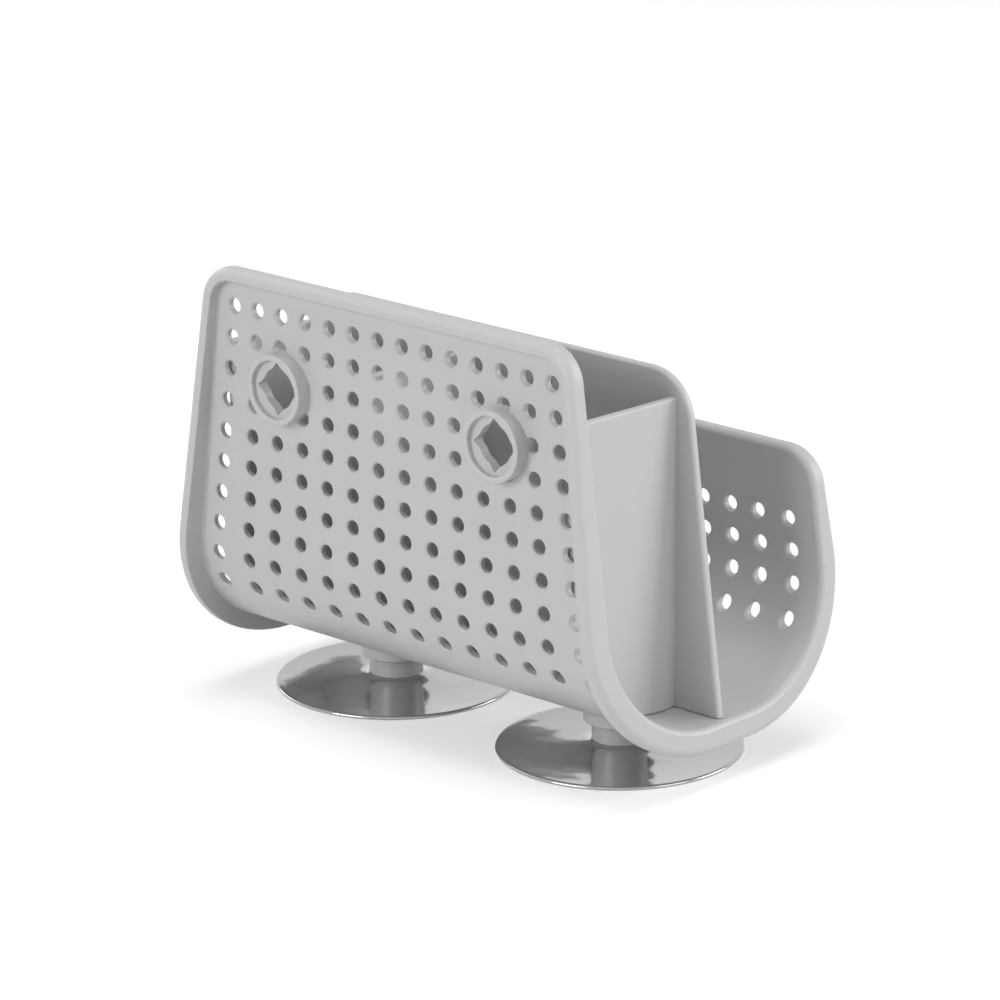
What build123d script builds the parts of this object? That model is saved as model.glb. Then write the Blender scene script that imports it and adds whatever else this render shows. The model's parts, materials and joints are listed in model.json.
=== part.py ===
from build123d import *
from math import acos, atan2, cos, degrees, hypot, sin, sqrt
from typing import NamedTuple
import os

# Kitchen sink caddy: a perforated U-shaped tray with a flared lip all round its edge, a lift-out
# divider, and two suction cups that snap into sockets under the floor. All sizes in millimetres.
# X runs along the length, the low front is at -Y, the high perforated back at +Y, Z is up, and
# the origin is on the ground below the middle of the tray's lip.

# Tray sheet. Its depths are from the front face of the divider to the outer face of the sheet
back_depth_at_top = 43.3
back_depth_at_bend = 43.95
front_depth_at_top = 45.2
front_depth_at_bend = 45.55
wall = 2.2
floor_wall = 2.5
floor_underside = 14.2
flat_floor_back = 5.0
flat_floor_front = 10.0
bend_height = 49.2
back_top = 126.2
front_top = 79.45
half_length_at_top = 66.5
half_length_at_floor = 81.2
back_corner_radius = 10.8
front_corner_radius = 11.0

# Lip around the edge of the sheet
lip_width = 3.6
lip_half_depth = 50.15
lip_reach_at_top = 2.9
lip_reach_at_floor = 4.55
lip_inner_radius = 1.6
lip_outer_radius = 2.0
lip_rear_radius = 0.5
lip_root_radius = 0.3

# Perforation: the inner columns fan out with the tray's ends, the end columns run beside the ends
hole_radius = 2.08
hole_rim_chamfer = 0.4
row_pitch = 9.0
back_rows = 10
front_rows = 4
columns = 14
top_row_below_edge = 11.1
front_row_below_edge = 20.25
inner_span_share = 0.7238
inner_span_loss_share = 0.00088
back_end_margin = 10.0
front_end_margin = 10.45

# Sockets for the suction cups
socket_radius = 9.8
socket_bore_radius = 8.1
socket_bore_depth = 1.6
socket_edge_radius = 0.4
back_socket_face_depth = 47.75
back_socket_half_spacing = 39.7
back_socket_height = 95.6
floor_socket_half_spacing = 41.7
floor_socket_face_height = 8.4
petal_slope = 0.6
petal_rear_depth = 4.85
petal_root = 0.3
star_cusp_radius = 7.4
star_waist_radius = 5.2

# Divider
divider_gap = 0.3
plate_thickness = 2.5
plate_top = 110.0
plate_end_inset = 1.8
plate_foot_end_inset = 2.5
plate_corner_radius = 14.0
plate_edge_radius = 0.9
cross_wall = 2.4
cross_wall_top_at_plate = 102.9
cross_wall_top_at_back = 104.3
cross_wall_edge_radius = 0.7
outer_wall_face = 63.6
outer_wall_foot_face = 62.3
middle_wall_face = 8.4

# Suction cups
stem_radius = 7.5
stem_foot_height = 3.1
stem_edge_radius = 0.4
stem_gap = 0.3
neck_radius = 5.6
neck_fit = 0.05
knob_radius = 6.9
knob_thickness = 2.2
knob_lead = 1.2
knob_gap = 0.1
spigot_radius = 4.5
spigot_depth = 1.2
spigot_fit = 0.05
disc_radius = 33.8
disc_rim_thickness = 1.0
disc_rim_land = 2.4
disc_edge_radius = 0.4
disc_hub_thickness = 1.7
disc_hub_fillet = 0.5
disc_hollow = 0.6

# One overrun serves every cut that has to pass clear through a face
overrun = 20.0
pick_tolerance = 0.01

# The start line of each hole's surface is turned away from where the hole meets the bend squarely
drill_seam_angle = 45.0


class Side(NamedTuple):
    """One side of a U section: a straight side that runs into a quarter ellipse and a flat floor."""

    top: float
    depth_at_top: float
    depth_at_bend: float
    flat_end: float
    floor: float

    def axes(self):
        """Half width and drop of the quarter ellipse."""
        return self.depth_at_bend - self.flat_end, bend_height - self.floor

    def tangent_angle(self):
        """Angle on the ellipse where the straight side, drawn from its top, touches it."""
        half_bend, drop = self.axes()
        across = (self.depth_at_top - self.flat_end) / half_bend
        along = (self.top - bend_height) / drop
        return atan2(along, across) - acos(1 / hypot(across, along))

    def depth(self, height):
        """Depth of the side at a height."""
        half_bend, drop = self.axes()
        angle = self.tangent_angle()
        touch_height = bend_height + drop * sin(angle)
        if height > touch_height:
            touch_depth = self.flat_end + half_bend * cos(angle)
            share = (height - touch_height) / (self.top - touch_height)
            return touch_depth + (self.depth_at_top - touch_depth) * share
        return self.flat_end + half_bend * sqrt(max(0, 1 - ((height - bend_height) / drop) ** 2))


def offset_skin(top_reach, back_bend_reach, front_bend_reach, floor_reach):
    """The back and front sides of the U, moved outwards from the sheet's outer face."""
    floor = floor_underside - floor_reach
    back_bend_depth = back_depth_at_bend + back_bend_reach
    front_bend_depth = front_depth_at_bend + front_bend_reach
    back = Side(back_top, back_depth_at_top + top_reach, back_bend_depth, flat_floor_back, floor)
    front = Side(front_top, front_depth_at_top + top_reach, front_bend_depth, flat_floor_front, floor)
    return back, front


def inner_skin(gap):
    """The sheet's inner face, drawn in by a gap."""
    return offset_skin(-wall - gap, -wall - gap, -wall - gap, -floor_wall - gap)


sheet_skin = offset_skin(0, 0, 0, 0)
hollow_skin = inner_skin(0)
lip_skin = offset_skin(
    lip_reach_at_top,
    lip_half_depth - back_depth_at_bend,
    lip_half_depth - front_depth_at_bend,
    lip_reach_at_floor,
)


def bend_arc(side, sign):
    """The quarter ellipse of a side and its run up to the straight part, on the Y side of the sign."""
    half_bend, drop = side.axes()
    turn = degrees(side.tangent_angle())
    start = -90 if sign > 0 else 180 - turn
    centre = (sign * side.flat_end, bend_height)
    return EllipticalCenterArc(centre, half_bend, drop, start_angle=start, arc_size=90 + turn)


def u_solid(back, front):
    """The filled U section between two sides, run past both ends and above both tops."""
    back_arc = bend_arc(back, 1)
    front_arc = bend_arc(front, -1)
    top = back_top + overrun
    floor = Line(front_arc @ 1, back_arc @ 0)
    sides = Polyline(back_arc @ 1, (back.depth(top), top), (-front.depth(top), top), front_arc @ 0)
    reach = half_length_at_floor + overrun
    section = make_face(Plane.YZ.offset(-reach) * (Curve() + [front_arc, floor, back_arc, sides]))
    return extrude(section, 2 * reach)


def end_x(height, inset=0):
    """Half length of the tray at a height, with its ends flared towards the floor."""
    lip_underside = floor_underside - lip_reach_at_floor
    flare = (half_length_at_floor - half_length_at_top) / (back_top - lip_underside)
    return half_length_at_floor - flare * (height - lip_underside) - inset


def end_outline(top, corner_radius, inset, base, base_inset):
    """Outline seen from the front: flared sides, square bottom, rounded top corners."""
    corners = [
        (-end_x(base, base_inset), base),
        (end_x(base, base_inset), base),
        (end_x(top, inset), top),
        (-end_x(top, inset), top),
    ]
    face = Polygon(*corners, align=None)
    return Plane.XZ * fillet(face.vertices().sort_by(Axis.Y)[-2:], corner_radius)


def tray_outline(inset):
    """The space between the tray's ends and below its top edges, inset from them."""
    reach = lip_half_depth + overrun
    base = floor_underside - overrun
    back = end_outline(back_top - inset, back_corner_radius - inset, inset, base, inset)
    front = end_outline(front_top - inset, front_corner_radius - inset, inset, base, inset)
    return extrude(back, -reach) + extrude(front, reach)


def is_on_skin(point, back, front):
    """Whether a point lies on the surface of a U."""
    if -front.flat_end < point.Y < back.flat_end:
        return abs(point.Z - back.floor) < pick_tolerance
    side = back if point.Y > 0 else front
    return abs(abs(point.Y) - side.depth(point.Z)) < pick_tolerance


def skin_edges(body, skin):
    """The edges of a body that run along a U, without the smooth lines across its bends and floor."""
    edges = []
    for edge in body.edges():
        is_low = (edge @ 0.5).Z < front_top - front_corner_radius
        is_smooth_line = is_low and abs((edge % 0.5).X) > 1 - pick_tolerance
        if not is_smooth_line and all(is_on_skin(edge @ at, *skin) for at in (0, 0.5, 1)):
            edges.append(edge)
    return edges


def lipped_shell():
    """The bent sheet with its lip, edges rounded, before any hole or socket."""
    sheet = u_solid(*sheet_skin) & tray_outline(0)
    rim = u_solid(*lip_skin) & tray_outline(0)
    rim = fillet(skin_edges(rim, lip_skin), lip_outer_radius)
    rim = rim - tray_outline(lip_width)
    shell = (sheet + rim) - u_solid(*hollow_skin)
    shell = fillet(skin_edges(shell, hollow_skin), lip_inner_radius)
    behind = tray_outline((lip_outer_radius + lip_width) / 2).solid()
    rear_edges = [edge for edge in skin_edges(shell, lip_skin) if behind.is_inside(edge @ 0.5)]
    shell = fillet(rear_edges, lip_rear_radius)
    return fillet(skin_edges(shell, sheet_skin), lip_root_radius)


def hole_rows(rows, first_height, end_margin):
    """Centres of the holes, row by row from the top."""
    middle = (columns - 1) / 2
    rows_of_centres = []
    for row in range(rows):
        height = first_height - row_pitch * row
        level = (back_top - top_row_below_edge - height) / row_pitch
        inner_end = end_x(height) * (inner_span_share - inner_span_loss_share * level)
        pitch = inner_end / (middle - 1)
        inner = [(column - middle) * pitch for column in range(1, columns - 1)]
        last = end_x(height, end_margin)
        rows_of_centres.append([(x, height) for x in [-last, *inner, last]])
    return rows_of_centres


def drilled(body, centres, sign):
    """A body with a row of holes, chamfered on both faces of the sheet, on the Y side of the sign."""
    reach = lip_half_depth + overrun
    drill = Rot(90, 0, 0) * Rot(0, 0, drill_seam_angle) * Cylinder(hole_radius, reach)
    body = body - [Pos(x, sign * reach / 2, height) * drill for x, height in centres]
    rims = []
    for edge in body.edges():
        point = edge @ 0.5
        runs_across = abs((edge % 0.5).Y) > 1 - pick_tolerance
        offsets = [hypot(point.X - x, point.Z - height) for x, height in centres]
        if not runs_across and sign * point.Y > 0 and abs(min(offsets) - hole_radius) < pick_tolerance:
            rims.append(edge)
    return chamfer(rims, hole_rim_chamfer)


def perforated_shell():
    """The lipped shell with the holes of its back and front."""
    shell = lipped_shell()
    for centres in hole_rows(back_rows, back_top - top_row_below_edge, back_end_margin):
        shell = drilled(shell, centres, 1)
    for centres in hole_rows(front_rows, front_top - front_row_below_edge, front_end_margin):
        shell = drilled(shell, centres, -1)
    return shell


def star(depth):
    """The four-pointed opening between the petals, as a cutter that hangs below the origin."""
    waist = star_waist_radius / sqrt(2)
    points = [(star_cusp_radius, 0), (0, star_cusp_radius), (-star_cusp_radius, 0), (0, -star_cusp_radius)]
    waists = [(waist, waist), (-waist, waist), (-waist, -waist), (waist, -waist)]
    sides = [ThreePointArc(points[i - 1], waists[i - 1], points[i]) for i in range(len(points))]
    return extrude(make_face(Curve() + sides), -depth)


def socket(depth):
    """A ring boss whose bore holds four sloping petals. Its face is at the origin and looks up +Z."""
    core = Pos(0, 0, -depth / 2) * Cylinder(socket_radius, depth)
    tube = core - Pos(0, 0, -depth / 2) * Cylinder(socket_bore_radius, depth)
    tube = fillet(tube.faces().sort_by(Axis.Z)[-1].edges(), socket_edge_radius)
    hub_radius = neck_radius + neck_fit
    root_radius = socket_bore_radius + petal_root
    petal = Polygon(
        (root_radius, -socket_bore_depth),
        (root_radius, -petal_rear_depth),
        (hub_radius, -petal_rear_depth),
        (hub_radius, -socket_bore_depth - petal_slope),
        align=None,
    )
    petals = revolve(Plane.XZ * petal, Axis.Z)
    return tube + (petals - star(depth))


def tray():
    """The perforated shell with two sockets on its back and two under its floor."""
    back_depth = back_socket_face_depth - back_depth_at_top + wall
    floor_depth = bend_height - floor_socket_face_height
    body = perforated_shell()
    hollow = u_solid(*hollow_skin)
    for side in (-1, 1):
        back_place = Pos(side * back_socket_half_spacing, back_socket_face_depth, back_socket_height)
        back_place = back_place * Rot(-90, 0, 0)
        floor_place = Pos(side * floor_socket_half_spacing, 0, floor_socket_face_height) * Rot(180, 0, 0)
        for place, depth in ((back_place, back_depth), (floor_place, floor_depth)):
            body = body - place * Pos(0, 0, -depth / 2) * Cylinder(socket_bore_radius, depth + wall)
            body = body + (place * socket(depth) - hollow)
    return body


def cross_wall_sheet(top_x, foot_x):
    """A cross wall behind the plate, its low X face given at the plate's top and at the floor.

    It ends short of the narrow top of the tray's back, so that it passes there when lifted out.
    """
    base = floor_underside
    depth = back_depth_at_top - wall - divider_gap
    front_view = Polygon(
        (foot_x, base),
        (foot_x + cross_wall, base),
        (top_x + cross_wall, plate_top),
        (top_x, plate_top),
        align=None,
    )
    side_view = Polygon(
        (0, base),
        (depth, base),
        (depth, cross_wall_top_at_back),
        (0, cross_wall_top_at_plate),
        align=None,
    )
    reach = half_length_at_floor
    sheet = extrude(Plane.XZ * front_view, -depth)
    sheet = sheet & extrude(Plane.YZ.offset(-reach) * side_view, 2 * reach)
    top_edges = sheet.faces().sort_by(Axis.Z)[-1].edges().sort_by(SortBy.LENGTH)
    return fillet(top_edges[-2:], cross_wall_edge_radius)


def divider():
    """The lengthwise plate with its three cross walls, clear of the tray by the divider gap."""
    plate_face = end_outline(
        plate_top, plate_corner_radius, plate_end_inset, floor_underside, plate_foot_end_inset
    )
    plate = Pos(0, plate_thickness / 2, 0) * extrude(plate_face, plate_thickness)
    broad_faces = plate.faces().sort_by(Axis.Y)
    body = fillet(broad_faces[0].edges() + broad_faces[-1].edges(), plate_edge_radius)
    body = body + cross_wall_sheet(-outer_wall_face, -outer_wall_foot_face)
    body = body + cross_wall_sheet(middle_wall_face, middle_wall_face)
    body = body + cross_wall_sheet(outer_wall_face - cross_wall, outer_wall_foot_face - cross_wall)
    return body & u_solid(*inner_skin(divider_gap))


def plug(x):
    """A cup's stem, with the neck and knob that the petals hold and the spigot that holds the disc."""
    stem_top = floor_socket_face_height + socket_bore_depth - stem_gap
    knob_foot = floor_socket_face_height + petal_rear_depth + knob_gap
    stem = Pos(0, 0, (stem_foot_height + stem_top) / 2) * Cylinder(stem_radius, stem_top - stem_foot_height)
    stem = fillet(stem.faces().sort_by(Axis.Z)[-1].edges(), stem_edge_radius)
    neck = Pos(0, 0, (stem_foot_height + knob_foot) / 2) * Cylinder(neck_radius, knob_foot - stem_foot_height)
    knob = Pos(0, 0, knob_foot + knob_thickness / 2) * Cylinder(knob_radius, knob_thickness)
    knob = chamfer(knob.faces().sort_by(Axis.Z)[-1].edges(), knob_lead)
    spigot = Pos(0, 0, stem_foot_height - spigot_depth / 2) * Cylinder(spigot_radius, spigot_depth)
    return Pos(x, 0, 0) * (stem + neck + knob + spigot)


def disc(x):
    """A soft suction disc: a thin hollow cone with a neck under the stem and a pocket for its spigot."""
    spigot_foot = stem_foot_height - spigot_depth
    outline = Polygon(
        (0, disc_hollow),
        (disc_radius - disc_rim_land, 0),
        (disc_radius, 0),
        (disc_radius, disc_rim_thickness),
        (stem_radius, disc_hub_thickness),
        (stem_radius, stem_foot_height),
        (spigot_radius + spigot_fit, stem_foot_height),
        (spigot_radius + spigot_fit, spigot_foot),
        (0, spigot_foot),
        align=None,
    )
    corners = outline.vertices()
    rim = [corner for corner in corners if abs(corner.X - disc_radius) < pick_tolerance]
    outline = fillet(rim, disc_edge_radius)
    hub = outline.vertices().sort_by_distance((stem_radius, disc_hub_thickness))[0]
    outline = fillet(hub, disc_hub_fillet)
    return Pos(x, 0, 0) * revolve(Plane.XZ * outline, Axis.Z)


def save(name, solid):
    """Write one node's solid to the parts folder."""
    export_step(solid, "parts/" + name + ".step")


os.makedirs("parts", exist_ok=True)
save("tray", tray())
save("divider", divider())
save("left_plug", plug(-floor_socket_half_spacing))
save("left_disc", disc(-floor_socket_half_spacing))
save("right_plug", plug(floor_socket_half_spacing))
save("right_disc", disc(floor_socket_half_spacing))
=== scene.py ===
"""Kitchen sink caddy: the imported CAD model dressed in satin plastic, with soft discs, and lit.

All lengths are in metres, in the frame of the CAD model: X along the caddy, Y towards its high
perforated back, Z up, with the ground at zero.
"""

import json
import logging
import math
from dataclasses import dataclass
from enum import Enum

import bpy
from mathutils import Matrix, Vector

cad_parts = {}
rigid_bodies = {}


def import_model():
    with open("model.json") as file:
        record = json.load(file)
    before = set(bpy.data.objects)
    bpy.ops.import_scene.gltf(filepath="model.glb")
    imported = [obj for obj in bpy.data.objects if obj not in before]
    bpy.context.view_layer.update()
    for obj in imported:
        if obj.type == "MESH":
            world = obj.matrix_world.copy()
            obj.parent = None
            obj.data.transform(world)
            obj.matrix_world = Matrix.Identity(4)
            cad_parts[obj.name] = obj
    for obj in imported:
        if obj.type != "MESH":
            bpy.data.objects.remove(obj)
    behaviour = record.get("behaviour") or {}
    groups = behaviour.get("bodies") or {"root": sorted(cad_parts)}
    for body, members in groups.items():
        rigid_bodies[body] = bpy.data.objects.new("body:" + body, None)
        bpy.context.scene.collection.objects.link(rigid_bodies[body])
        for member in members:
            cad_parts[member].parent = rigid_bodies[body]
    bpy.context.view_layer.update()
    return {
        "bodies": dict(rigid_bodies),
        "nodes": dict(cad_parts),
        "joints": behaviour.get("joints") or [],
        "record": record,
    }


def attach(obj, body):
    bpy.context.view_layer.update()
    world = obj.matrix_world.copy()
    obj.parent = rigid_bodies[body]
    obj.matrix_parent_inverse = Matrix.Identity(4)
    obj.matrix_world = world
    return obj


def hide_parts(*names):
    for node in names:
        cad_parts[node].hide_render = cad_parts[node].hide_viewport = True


log = logging.getLogger("caddy")

# The plane that a spun profile starts from is merged to a point, so its size leaves no trace
SEED_SIZE = 0.001
MERGE_DISTANCE = 1e-6

Point = tuple[float, float, float]
Profile = list[tuple[float, float]]


class Side(Enum):
    """The two ends of the caddy, with the name its nodes use and the sign of X there."""

    LEFT = ("left", -1.0)
    RIGHT = ("right", 1.0)

    @property
    def label(self) -> str:
        """The name used for this side in nodes, bodies and pieces."""
        return self.value[0]

    @property
    def sign(self) -> float:
        """The sign of X on this side."""
        return self.value[1]


# Small helpers


def deselect_all() -> None:
    """Leave nothing selected, so that the next operator acts on its own piece alone."""
    bpy.ops.object.select_all(action="DESELECT")


def select_only(piece: bpy.types.Object) -> None:
    """Make one piece the only selected and active object.

    Args:
        piece: The object to select.
    """
    deselect_all()
    piece.select_set(True)
    bpy.context.view_layer.objects.active = piece


def grey(level: float) -> tuple[float, float, float, float]:
    """A neutral opaque colour of one linear level."""
    return (level, level, level, 1.0)


def smooth(piece: bpy.types.Object, angle_deg: float) -> None:
    """Shade a piece smooth except over edges sharper than an angle.

    Args:
        piece: The object to shade.
        angle_deg: The largest angle that is still shaded smooth.
    """
    select_only(piece)
    bpy.ops.object.shade_smooth_by_angle(angle=math.radians(angle_deg))


def paint(node: bpy.types.Object, material: bpy.types.Material) -> None:
    """Put one material in every slot of a CAD node.

    Args:
        node: The CAD node's object.
        material: The material for the whole node.
    """
    for slot in node.material_slots:
        slot.material = material


def spun_piece(name: str, profile: Profile, centre: Point, steps: int) -> bpy.types.Object:
    """Spin a profile of (radius, height) points about an upright axis into a closed shell.

    Args:
        name: The new object's name.
        profile: Points in order, the first and the last on the axis.
        centre: The point on the axis that heights count from.
        steps: The number of steps in the full turn.

    Returns:
        The new object, at the origin, with its place in its mesh.
    """
    deselect_all()
    bpy.ops.mesh.primitive_plane_add(size=SEED_SIZE, location=(0.0, 0.0, 0.0))
    piece = bpy.context.object
    piece.name = name
    bpy.ops.object.mode_set(mode="EDIT")
    bpy.ops.mesh.merge(type="CENTER")
    points = [
        Vector((centre[0] + radius, centre[1], centre[2] + height)) for radius, height in profile
    ]
    bpy.ops.transform.translate(value=points[0])
    for here, there in zip(points, points[1:]):
        bpy.ops.mesh.extrude_region_move(TRANSFORM_OT_translate={"value": there - here})
    bpy.ops.mesh.select_all(action="SELECT")
    bpy.ops.mesh.spin(steps=steps, angle=2.0 * math.pi, center=centre, axis=(0.0, 0.0, 1.0))
    bpy.ops.mesh.select_all(action="SELECT")
    bpy.ops.mesh.remove_doubles(threshold=MERGE_DISTANCE)
    bpy.ops.mesh.normals_make_consistent(inside=False)
    bpy.ops.object.mode_set(mode="OBJECT")
    return piece


# Helpers for node trees


def new_material(name: str) -> bpy.types.Material:
    """Make an empty material that uses nodes.

    Args:
        name: The material's name.

    Returns:
        The new material.
    """
    material = bpy.data.materials.new(name)
    material.use_nodes = True
    return material


def math_node(tree: bpy.types.NodeTree, operation: str) -> bpy.types.Node:
    """Add a Math node to a node tree.

    Args:
        tree: The node tree of a material, a group or the world.
        operation: What the node does with its inputs.

    Returns:
        The new node.
    """
    node = tree.nodes.new("ShaderNodeMath")
    node.operation = operation
    return node


def bump_normal(
    tree: bpy.types.NodeTree, height: bpy.types.NodeSocket, distance: float
) -> bpy.types.NodeSocket:
    """Add a Bump node that turns a height into a normal.

    Args:
        tree: The material's own node tree.
        height: The output that gives the height, from 0 to 1.
        distance: How far a height of 1 stands out.

    Returns:
        The output that gives the normal.
    """
    bump = tree.nodes.new("ShaderNodeBump")
    bump.inputs["Strength"].default_value = 1.0
    bump.inputs["Distance"].default_value = distance
    tree.links.new(height, bump.inputs["Height"])
    return bump.outputs["Normal"]


def seen_directly(tree: bpy.types.NodeTree) -> bpy.types.NodeSocket:
    """Add nodes that give 1 to what the camera or a reflection sees, and 0 to all other light.

    Args:
        tree: The node tree of a material or the world.

    Returns:
        The output that gives that value.
    """
    path = tree.nodes.new("ShaderNodeLightPath")
    seen = math_node(tree, "MAXIMUM")
    tree.links.new(path.outputs["Is Camera Ray"], seen.inputs[0])
    tree.links.new(path.outputs["Is Glossy Ray"], seen.inputs[1])
    return seen.outputs[0]


# Surfaces


class MouldedSkin:
    """A node group for moulded plastic: a faint mottle in colour and roughness and a fine skin."""

    name: str = "MouldedSkin"
    cloud_scale: float = 45.0
    cloud_detail: float = 3.0
    cloud_middle: float = 0.5
    grain_detail: float = 2.0

    def __init__(self) -> None:
        """Build the group's sockets and nodes."""
        self.tree = bpy.data.node_groups.new(self.name, "ShaderNodeTree")
        sockets = (
            ("Colour", "INPUT", "NodeSocketColor"),
            ("Mottle", "INPUT", "NodeSocketFloat"),
            ("Roughness", "INPUT", "NodeSocketFloat"),
            ("Grain Scale", "INPUT", "NodeSocketFloat"),
            ("Colour", "OUTPUT", "NodeSocketColor"),
            ("Roughness", "OUTPUT", "NodeSocketFloat"),
            ("Height", "OUTPUT", "NodeSocketFloat"),
        )
        for label, direction, kind in sockets:
            self.tree.interface.new_socket(name=label, in_out=direction, socket_type=kind)
        nodes, links = self.tree.nodes, self.tree.links
        inputs = nodes.new("NodeGroupInput")
        outputs = nodes.new("NodeGroupOutput")
        place = nodes.new("ShaderNodeTexCoord")
        cloud = nodes.new("ShaderNodeTexNoise")
        cloud.inputs["Scale"].default_value = self.cloud_scale
        cloud.inputs["Detail"].default_value = self.cloud_detail
        links.new(place.outputs["Object"], cloud.inputs["Vector"])
        centred = math_node(self.tree, "SUBTRACT")
        centred.inputs[1].default_value = self.cloud_middle
        links.new(cloud.outputs["Fac"], centred.inputs[0])
        swing = math_node(self.tree, "MULTIPLY_ADD")
        swing.inputs[2].default_value = 1.0
        links.new(centred.outputs[0], swing.inputs[0])
        links.new(inputs.outputs["Mottle"], swing.inputs[1])
        tint = nodes.new("ShaderNodeVectorMath")
        tint.operation = "SCALE"
        links.new(inputs.outputs["Colour"], tint.inputs[0])
        links.new(swing.outputs[0], tint.inputs["Scale"])
        links.new(tint.outputs[0], outputs.inputs["Colour"])
        rough = math_node(self.tree, "MULTIPLY")
        links.new(inputs.outputs["Roughness"], rough.inputs[0])
        links.new(swing.outputs[0], rough.inputs[1])
        links.new(rough.outputs[0], outputs.inputs["Roughness"])
        grain = nodes.new("ShaderNodeTexNoise")
        grain.inputs["Detail"].default_value = self.grain_detail
        links.new(place.outputs["Object"], grain.inputs["Vector"])
        links.new(inputs.outputs["Grain Scale"], grain.inputs["Scale"])
        links.new(grain.outputs["Fac"], outputs.inputs["Height"])


@dataclass(frozen=True)
class PlasticFinish:
    """Moulded plastic with a satin sheen."""

    name: str
    level: float
    roughness: float
    mottle: float = 0.04
    grain_scale: float = 1500.0
    grain_height: float = 0.00002

    def build(self, skin: MouldedSkin) -> bpy.types.Material:
        """Make the material.

        Args:
            skin: The shared node group for moulded plastic.

        Returns:
            The finished material.
        """
        material = new_material(self.name)
        tree = material.node_tree
        shader = tree.nodes["Principled BSDF"]
        group = tree.nodes.new("ShaderNodeGroup")
        group.node_tree = skin.tree
        group.inputs["Colour"].default_value = grey(self.level)
        group.inputs["Mottle"].default_value = self.mottle
        group.inputs["Roughness"].default_value = self.roughness
        group.inputs["Grain Scale"].default_value = self.grain_scale
        tree.links.new(group.outputs["Colour"], shader.inputs["Base Color"])
        tree.links.new(group.outputs["Roughness"], shader.inputs["Roughness"])
        normal = bump_normal(tree, group.outputs["Height"], self.grain_height)
        tree.links.new(normal, shader.inputs["Normal"])
        return material


@dataclass(frozen=True)
class GlassyRubber:
    """Soft dark rubber with a slightly wavy skin that mirrors the surround at shallow angles."""

    name: str
    level: float
    roughness: float
    ior: float
    coat_roughness_share: float = 0.5
    wave_scale: float = 55.0
    wave_detail: float = 2.0
    wave_height: float = 0.0003

    def build(self) -> bpy.types.Material:
        """Make the material.

        Returns:
            The finished material.
        """
        material = new_material(self.name)
        tree = material.node_tree
        shader = tree.nodes["Principled BSDF"]
        shader.inputs["Base Color"].default_value = grey(self.level)
        shader.inputs["Roughness"].default_value = self.roughness
        shader.inputs["IOR"].default_value = self.ior
        shader.inputs["Coat Weight"].default_value = 1.0
        shader.inputs["Coat Roughness"].default_value = self.roughness * self.coat_roughness_share
        shader.inputs["Coat IOR"].default_value = self.ior
        place = tree.nodes.new("ShaderNodeTexCoord")
        waves = tree.nodes.new("ShaderNodeTexNoise")
        waves.inputs["Scale"].default_value = self.wave_scale
        waves.inputs["Detail"].default_value = self.wave_detail
        tree.links.new(place.outputs["Object"], waves.inputs["Vector"])
        normal = bump_normal(tree, waves.outputs["Fac"], self.wave_height)
        tree.links.new(normal, shader.inputs["Normal"])
        tree.links.new(normal, shader.inputs["Coat Normal"])
        return material


@dataclass(frozen=True)
class StudioSurface:
    """The pale floor: matt, lifted towards white where it is seen directly, clear from below."""

    name: str
    level: float
    lift: float

    def build(self) -> bpy.types.Material:
        """Make the material.

        Returns:
            The finished material.
        """
        material = new_material(self.name)
        tree = material.node_tree
        nodes, links = tree.nodes, tree.links
        nodes.clear()
        matt = nodes.new("ShaderNodeBsdfDiffuse")
        matt.inputs["Color"].default_value = grey(self.level)
        glow = nodes.new("ShaderNodeEmission")
        strength = math_node(tree, "MULTIPLY")
        strength.inputs[1].default_value = self.lift
        links.new(seen_directly(tree), strength.inputs[0])
        links.new(strength.outputs[0], glow.inputs["Strength"])
        both = nodes.new("ShaderNodeAddShader")
        links.new(matt.outputs[0], both.inputs[0])
        links.new(glow.outputs[0], both.inputs[1])
        clear = nodes.new("ShaderNodeBsdfTransparent")
        sides = nodes.new("ShaderNodeMixShader")
        geometry = nodes.new("ShaderNodeNewGeometry")
        links.new(geometry.outputs["Backfacing"], sides.inputs[0])
        links.new(both.outputs[0], sides.inputs[1])
        links.new(clear.outputs[0], sides.inputs[2])
        output = nodes.new("ShaderNodeOutputMaterial")
        links.new(sides.outputs[0], output.inputs["Surface"])
        return material


# The caddy's sub-assemblies


@dataclass
class Tray:
    """The perforated tray with its lip and sockets, which keeps its CAD shape."""

    finish: PlasticFinish

    def dress(self, frame: dict, skin: MouldedSkin) -> None:
        """Give the CAD node its plastic.

        Args:
            skin: The shared node group for moulded plastic.
        """
        paint(frame["nodes"]["tray"], self.finish.build(skin))
        log.info("tray dressed")


@dataclass
class Divider:
    """The lift-out divider, which keeps its CAD shape."""

    finish: PlasticFinish

    def dress(self, frame: dict, skin: MouldedSkin) -> None:
        """Give the CAD node its plastic.

        Args:
            skin: The shared node group for moulded plastic.
        """
        paint(frame["nodes"]["divider"], self.finish.build(skin))
        log.info("divider dressed")


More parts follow.
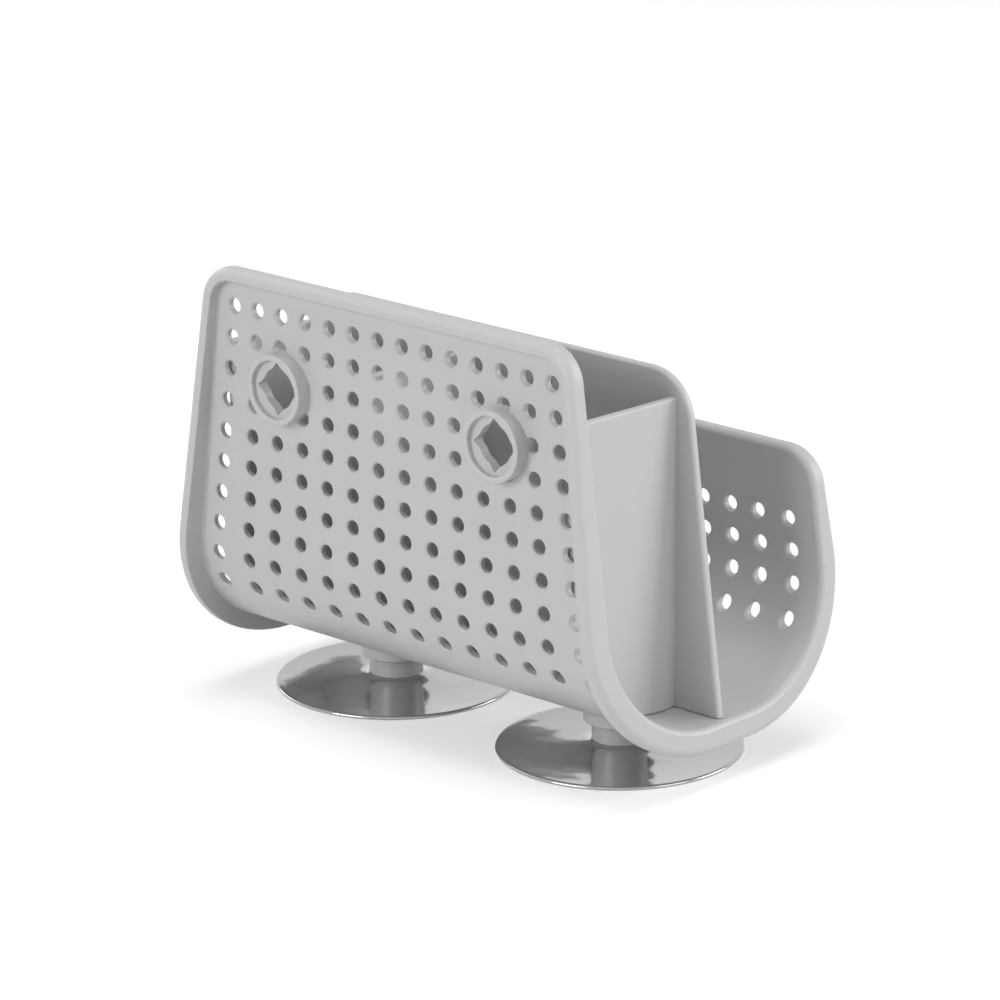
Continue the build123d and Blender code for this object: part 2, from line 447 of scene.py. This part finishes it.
@dataclass
class SuctionCup:
    """One suction cup: its hard plug from the CAD, and a soft disc with a hub and a rolled rim.

    The disc keeps the reach, the underside and the pocket of the CAD disc that it replaces.
    """

    side: Side
    plug_finish: PlasticFinish
    disc_finish: GlassyRubber
    axis_x: float = 0.0417
    disc_radius: float = 0.0338
    rim_bead: float = 0.00055
    rim_dip: float = 0.00085
    land: float = 0.0024
    hollow: float = 0.0006
    web_height: float = 0.00165
    hub_radius: float = 0.0076
    hub_spread: float = 0.0052
    hub_height: float = 0.00308
    pocket_radius: float = 0.00455
    pocket_floor: float = 0.0019
    bead_steps: int = 6
    hub_steps: int = 9
    spin_steps: int = 160
    crease_deg: float = 40.0

    def dress_plug(self, frame: dict, skin: MouldedSkin) -> None:
        """Give the CAD node its plastic.

        Args:
            skin: The shared node group for moulded plastic.
        """
        paint(frame["nodes"][self.side.label + "_plug"], self.plug_finish.build(skin))

    def disc_profile(self) -> Profile:
        """The disc's section, from the middle of its underside round its rim to its pocket.

        Returns:
            Points of (radius, height) in order.
        """
        bead_centre = self.disc_radius - self.rim_bead
        profile = [(0.0, self.hollow), (self.disc_radius - self.land, 0.0)]
        for step in range(self.bead_steps + 1):
            turn = math.pi * (step / self.bead_steps - 0.5)
            radius = bead_centre + self.rim_bead * math.cos(turn)
            profile.append((radius, self.rim_bead * (1.0 + math.sin(turn))))
        profile.append((bead_centre - 2.0 * self.rim_bead, self.rim_dip))
        for step in range(self.hub_steps + 1):
            share = step / self.hub_steps
            rise = 1.0 - math.sqrt(1.0 - share * share)
            radius = self.hub_radius + self.hub_spread * (1.0 - share)
            profile.append((radius, self.web_height + (self.hub_height - self.web_height) * rise))
        profile.append((self.pocket_radius, self.hub_height))
        profile.append((self.pocket_radius, self.pocket_floor))
        profile.append((0.0, self.pocket_floor))
        return profile

    def build_disc(self) -> None:
        """Model the soft disc in place of the plain CAD one, and let it turn with its cup."""
        name = self.side.label + "_soft_disc"
        centre = (self.side.sign * self.axis_x, 0.0, 0.0)
        piece = spun_piece(name, self.disc_profile(), centre, self.spin_steps)
        smooth(piece, self.crease_deg)
        piece.data.materials.append(self.disc_finish.build())
        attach(piece, self.side.label + "_cup")
        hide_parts(self.side.label + "_disc")

    def build(self, frame: dict, skin: MouldedSkin) -> None:
        """Dress the plug and model the disc.

        Args:
            skin: The shared node group for moulded plastic.
        """
        self.dress_plug(frame, skin)
        self.build_disc()
        log.info("%s cup dressed, its disc modelled", self.side.label)


# The studio


@dataclass(frozen=True)
class SoftBox:
    """A square area lamp that looks at the caddy."""

    name: str
    place: Point
    power: float
    size: float = 1.2
    target: Point = (0.0, 0.0, 0.06)

    def build(self) -> bpy.types.Object:
        """Add the lamp to the scene.

        Returns:
            The lamp's object.
        """
        deselect_all()
        bpy.ops.object.light_add(type="AREA", location=self.place)
        lamp = bpy.context.object
        lamp.name = self.name
        lamp.data.size = self.size
        lamp.data.energy = self.power
        aim = Vector(self.target) - Vector(self.place)
        lamp.rotation_euler = aim.to_track_quat("-Z", "Y").to_euler()
        return lamp


@dataclass
class Studio:
    """The pale floor, the even surround and the soft boxes."""

    floor: StudioSurface
    soft_boxes: list[SoftBox]
    floor_size: float = 30.0
    surround: float = 0.05
    backdrop: float = 1.0

    def build_floor(self) -> None:
        """Add the floor."""
        deselect_all()
        bpy.ops.mesh.primitive_plane_add(size=self.floor_size, location=(0.0, 0.0, 0.0))
        floor = bpy.context.object
        floor.name = "floor"
        floor.data.materials.append(self.floor.build())

    def build_surround(self) -> None:
        """Set the world: a faint even light that is white where it is seen directly."""
        world = bpy.data.worlds.new("surround")
        world.use_nodes = True
        tree = world.node_tree
        background = tree.nodes["Background"]
        background.inputs["Color"].default_value = grey(1.0)
        # A Mix node of numbers takes its share at socket 0 and its two values at 2 and 3
        strength = tree.nodes.new("ShaderNodeMix")
        strength.data_type = "FLOAT"
        strength.inputs[2].default_value = self.surround
        strength.inputs[3].default_value = self.backdrop
        tree.links.new(seen_directly(tree), strength.inputs[0])
        tree.links.new(strength.outputs[0], background.inputs["Strength"])
        bpy.context.scene.world = world

    def build(self) -> None:
        """Add the floor, the world and the lamps."""
        self.build_floor()
        self.build_surround()
        for box in self.soft_boxes:
            box.build()
        log.info("studio built with %d soft boxes", len(self.soft_boxes))


@dataclass(frozen=True)
class PhotoCamera:
    """The camera that took the photograph, solved from the grid of holes."""

    place: Point = (-0.95091, 1.02255, 0.50695)
    turn_deg: Point = (72.3032, 0.7452, -137.2803)
    lens: float = 194.194
    sensor: float = 36.0
    clip_start: float = 0.05
    clip_end: float = 100.0

    def build(self) -> None:
        """Add the camera and make it the scene's own."""
        deselect_all()
        turn = tuple(math.radians(angle) for angle in self.turn_deg)
        bpy.ops.object.camera_add(location=self.place, rotation=turn)
        camera = bpy.context.object
        camera.name = "camera"
        camera.data.lens = self.lens
        camera.data.sensor_width = self.sensor
        camera.data.clip_start = self.clip_start
        camera.data.clip_end = self.clip_end
        bpy.context.scene.camera = camera


def main() -> None:
    """Dress the caddy, light it and set the camera."""
    logging.basicConfig(level=logging.INFO, format="%(name)s: %(message)s")
    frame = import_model()
    skin = MouldedSkin()
    satin = PlasticFinish("tray_satin", level=0.52, roughness=0.42)
    satin_divider = PlasticFinish("divider_satin", level=0.53, roughness=0.42)
    plug = PlasticFinish("plug_gloss", level=0.42, roughness=0.36)
    disc = GlassyRubber("disc_gloss", level=0.2, roughness=0.11, ior=2.3)
    Tray(satin).dress(frame, skin)
    Divider(satin_divider).dress(frame, skin)
    for side in Side:
        SuctionCup(side, plug, disc).build(frame, skin)
    boxes = [
        SoftBox("low_front_box", place=(-1.5, -1.5, 0.8), power=25.0),
        SoftBox("near_end_box", place=(-2.2, 0.0, 0.9), power=13.5),
        SoftBox("back_box", place=(0.2, 2.2, 0.9), power=30.0),
        SoftBox("far_end_box", place=(2.1, 0.0, 1.2), power=15.0),
        SoftBox("top_box", place=(0.0, 0.0, 2.3), power=18.0),
        SoftBox("camera_side_box", place=(-1.0, 0.8, 2.0), power=3.0),
    ]
    Studio(StudioSurface("floor_white", level=0.85, lift=0.35), boxes).build()
    PhotoCamera().build()
    bpy.context.scene.view_settings.view_transform = "Standard"


if __name__ == "__main__":
    main()
